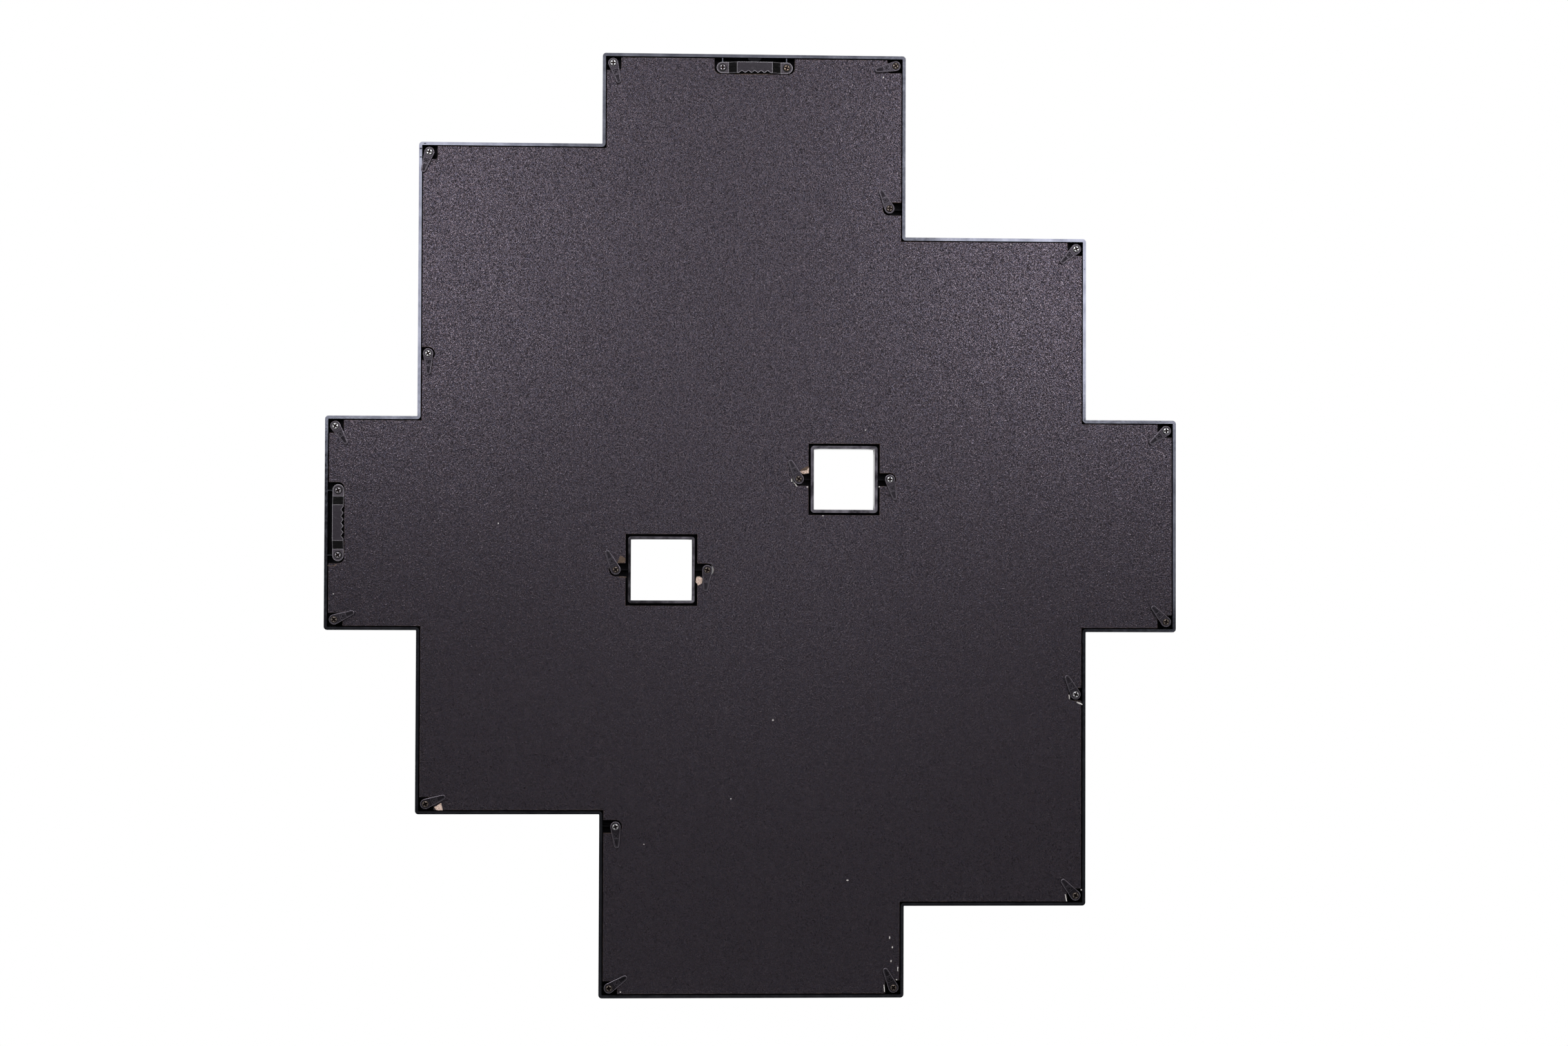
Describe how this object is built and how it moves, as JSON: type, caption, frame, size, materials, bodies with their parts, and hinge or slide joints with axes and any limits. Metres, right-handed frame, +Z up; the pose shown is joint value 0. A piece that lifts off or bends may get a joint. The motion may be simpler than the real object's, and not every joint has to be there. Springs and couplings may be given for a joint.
{
  "type": "collage photo frame",
  "caption": "Collage photo frame with a stepped outline: moulded front, glass panes, paper inserts, a notched backing board held by turn buttons, and sawtooth hangers for either way up.",
  "frame": {"origin": "where a wall nail carries the top hanger: the top of its middle notch, half way through the strip", "axes": "+Z up along the longest side of the hung frame, +Y out of the back towards the wall, -Y out of the front, +X to the right seen from the front"},
  "size_m": [0.504, 0.0161, 0.558],
  "materials": {
    "frame_plastic": "glossy black moulded plastic",
    "button_plastic": "satin dark grey moulded plastic",
    "glass": "clear float glass",
    "photo_paper": "matt plain paper",
    "backing_board": "fibreboard faced with charcoal fibrous paper",
    "hanger_steel": "dark plated stamped steel",
    "screw_steel": "nickel plated steel"
  },
  "bodies": {
    "frame": {"front_frame": "frame_plastic", "backing_board": "backing_board", "hanger_top": "hanger_steel", "hanger_side": "hanger_steel", "button_screws": "screw_steel", "hanger_screws": "screw_steel", "glass_pane_01": "glass", "glass_pane_02": "glass", "glass_pane_03": "glass", "glass_pane_04": "glass", "glass_pane_05": "glass", "glass_pane_06": "glass", "glass_pane_07": "glass", "glass_pane_08": "glass", "glass_pane_09": "glass", "glass_pane_10": "glass", "photo_insert_01": "photo_paper", "photo_insert_02": "photo_paper", "photo_insert_03": "photo_paper", "photo_insert_04": "photo_paper", "photo_insert_05": "photo_paper", "photo_insert_06": "photo_paper", "photo_insert_07": "photo_paper", "photo_insert_08": "photo_paper", "photo_insert_09": "photo_paper", "photo_insert_10": "photo_paper"},
    "button_01": {"turn_button_01": "button_plastic"},
    "button_02": {"turn_button_02": "button_plastic"},
    "button_03": {"turn_button_03": "button_plastic"},
    "button_04": {"turn_button_04": "button_plastic"},
    "button_05": {"turn_button_05": "button_plastic"},
    "button_06": {"turn_button_06": "button_plastic"},
    "button_07": {"turn_button_07": "button_plastic"},
    "button_08": {"turn_button_08": "button_plastic"},
    "button_09": {"turn_button_09": "button_plastic"},
    "button_10": {"turn_button_10": "button_plastic"},
    "button_11": {"turn_button_11": "button_plastic"},
    "button_12": {"turn_button_12": "button_plastic"},
    "button_13": {"turn_button_13": "button_plastic"},
    "button_14": {"turn_button_14": "button_plastic"},
    "button_15": {"turn_button_15": "button_plastic"},
    "button_16": {"turn_button_16": "button_plastic"},
    "button_17": {"turn_button_17": "button_plastic"},
    "button_18": {"turn_button_18": "button_plastic"},
    "button_19": {"turn_button_19": "button_plastic"},
    "button_20": {"turn_button_20": "button_plastic"}
  },
  "joints": [
    {"name": "button_01_turn", "type": "hinge", "parent": "frame", "child": "button_01", "pos_m": [0.0838, -0.00235, 0.0038], "axis": [0, 1, 0], "continuous": true},
    {"name": "button_02_turn", "type": "hinge", "parent": "frame", "child": "button_02", "pos_m": [-0.0838, -0.00235, 0.0038], "axis": [0, 1, 0], "continuous": true},
    {"name": "button_03_turn", "type": "hinge", "parent": "frame", "child": "button_03", "pos_m": [0.1918, -0.00235, -0.0502], "axis": [0, 1, 0], "continuous": true},
    {"name": "button_04_turn", "type": "hinge", "parent": "frame", "child": "button_04", "pos_m": [-0.1918, -0.00235, -0.1042], "axis": [0, 1, 0], "continuous": true},
    {"name": "button_05_turn", "type": "hinge", "parent": "frame", "child": "button_05", "pos_m": [0.2458, -0.00235, -0.2122], "axis": [0, 1, 0], "continuous": true},
    {"name": "button_06_turn", "type": "hinge", "parent": "frame", "child": "button_06", "pos_m": [-0.2458, -0.00235, -0.2122], "axis": [0, 1, 0], "continuous": true},
    {"name": "button_07_turn", "type": "hinge", "parent": "frame", "child": "button_07", "pos_m": [0.2458, -0.00235, -0.3258], "axis": [0, 1, 0], "continuous": true},
    {"name": "button_08_turn", "type": "hinge", "parent": "frame", "child": "button_08", "pos_m": [-0.2458, -0.00235, -0.3258], "axis": [0, 1, 0], "continuous": true},
    {"name": "button_09_turn", "type": "hinge", "parent": "frame", "child": "button_09", "pos_m": [0.1918, -0.00235, -0.4338], "axis": [0, 1, 0], "continuous": true},
    {"name": "button_10_turn", "type": "hinge", "parent": "frame", "child": "button_10", "pos_m": [-0.1918, -0.00235, -0.4878], "axis": [0, 1, 0], "continuous": true},
    {"name": "button_11_turn", "type": "hinge", "parent": "frame", "child": "button_11", "pos_m": [0.0838, -0.00235, -0.5418], "axis": [0, 1, 0], "continuous": true},
    {"name": "button_12_turn", "type": "hinge", "parent": "frame", "child": "button_12", "pos_m": [-0.0838, -0.00235, -0.5418], "axis": [0, 1, 0], "continuous": true},
    {"name": "button_13_turn", "type": "hinge", "parent": "frame", "child": "button_13", "pos_m": [-0.0804, -0.00235, -0.0811], "axis": [0, 1, 0], "continuous": true},
    {"name": "button_14_turn", "type": "hinge", "parent": "frame", "child": "button_14", "pos_m": [0.1918, -0.00235, -0.1691], "axis": [0, 1, 0], "continuous": true},
    {"name": "button_15_turn", "type": "hinge", "parent": "frame", "child": "button_15", "pos_m": [-0.1918, -0.00235, -0.3689], "axis": [0, 1, 0], "continuous": true},
    {"name": "button_16_turn", "type": "hinge", "parent": "frame", "child": "button_16", "pos_m": [0.0804, -0.00235, -0.4472], "axis": [0, 1, 0], "continuous": true},
    {"name": "button_17_turn", "type": "hinge", "parent": "frame", "child": "button_17", "pos_m": [-0.027, -0.00235, -0.242], "axis": [0, 1, 0], "continuous": true},
    {"name": "button_18_turn", "type": "hinge", "parent": "frame", "child": "button_18", "pos_m": [-0.081, -0.00235, -0.242], "axis": [0, 1, 0], "continuous": true},
    {"name": "button_19_turn", "type": "hinge", "parent": "frame", "child": "button_19", "pos_m": [0.081, -0.00235, -0.296], "axis": [0, 1, 0], "continuous": true},
    {"name": "button_20_turn", "type": "hinge", "parent": "frame", "child": "button_20", "pos_m": [0.027, -0.00235, -0.296], "axis": [0, 1, 0], "continuous": true}
  ]
}
